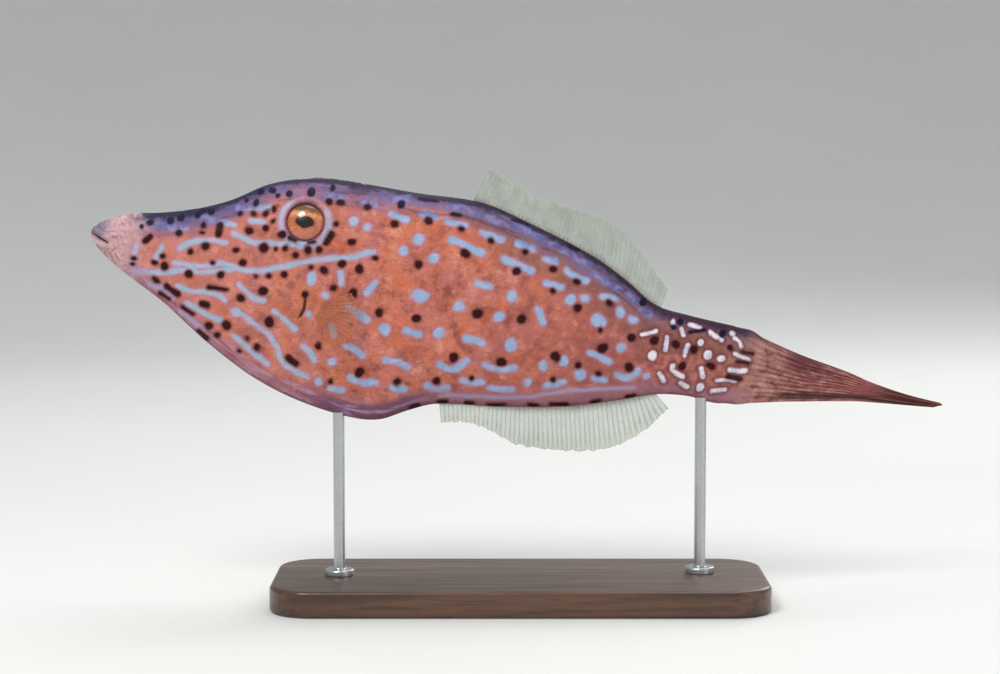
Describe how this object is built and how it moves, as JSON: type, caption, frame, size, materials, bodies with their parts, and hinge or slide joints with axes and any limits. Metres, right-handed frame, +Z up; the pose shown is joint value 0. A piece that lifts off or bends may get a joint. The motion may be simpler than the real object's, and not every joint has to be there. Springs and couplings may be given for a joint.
{
  "type": "scrawled filefish",
  "caption": "Whole scrawled filefish on a plain display stand: slender, flat-sided, head a little raised, tail fin folded and swung aside; still life-size model.",
  "frame": {"origin": "centre of the underside of the stand's base", "axes": "+Z up, -X towards the snout, -Y out of the fish's left flank, +X along the stand and the fish's length"},
  "size_m": [0.5305, 0.1321, 0.2639],
  "materials": {
    "skin": "velvety, salmon red with pale blue lines and spots and near-black dots",
    "fin_membrane": "thin, pale, faintly translucent, with fine rays",
    "tail_fin": "satin, red-brown with dark streaks along the rays",
    "eye": "clear gloss over an orange iris",
    "spine": "satin, dark violet-brown",
    "stand_base": "dark hardwood, satin",
    "stand_rod": "brushed"
  },
  "bodies": {
    "root": {"head": "skin", "torso": "skin", "tail_stalk": "skin", "tail_fin": "tail_fin", "tail_fin_end": "tail_fin", "dorsal_fin": "fin_membrane", "anal_fin": "fin_membrane", "pectoral_fin_left": "fin_membrane", "pectoral_fin_right": "fin_membrane", "dorsal_spine": "spine", "eye_left": "eye", "eye_right": "eye", "stand_base": "stand_base", "stand_rod_front": "stand_rod", "stand_rod_rear": "stand_rod"}
  },
  "joints": []
}
